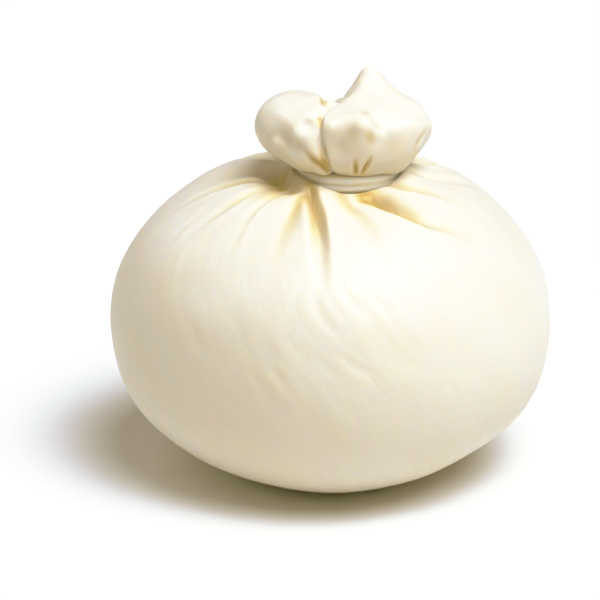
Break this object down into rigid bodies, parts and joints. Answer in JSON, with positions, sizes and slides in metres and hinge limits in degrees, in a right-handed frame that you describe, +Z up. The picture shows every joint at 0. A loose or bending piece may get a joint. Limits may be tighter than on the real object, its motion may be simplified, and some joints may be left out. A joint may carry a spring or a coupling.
{
  "type": "burrata",
  "caption": "Whole fresh burrata: a soft round pouch of stretched curd, gathered at the top into a lobed knot and tied with a strand of the same curd.",
  "frame": {"origin": "centre of the flat spot that the pouch rests on, which is the bottom centre of the whole", "axes": "+Z up through the neck, -Y to the front where the knot's cleft and the deepest pleats are, +X to the right of someone who looks at the front"},
  "size_m": [0.085, 0.083, 0.0785],
  "materials": {
    "curd_skin": "moist, softly shining, creamy white stretched curd with straw-yellow creases",
    "curd_strand": "moist, softly shining, creamy white stretched curd"
  },
  "bodies": {
    "root": {"pouch": "curd_skin", "neck_strand": "curd_strand"}
  },
  "joints": []
}
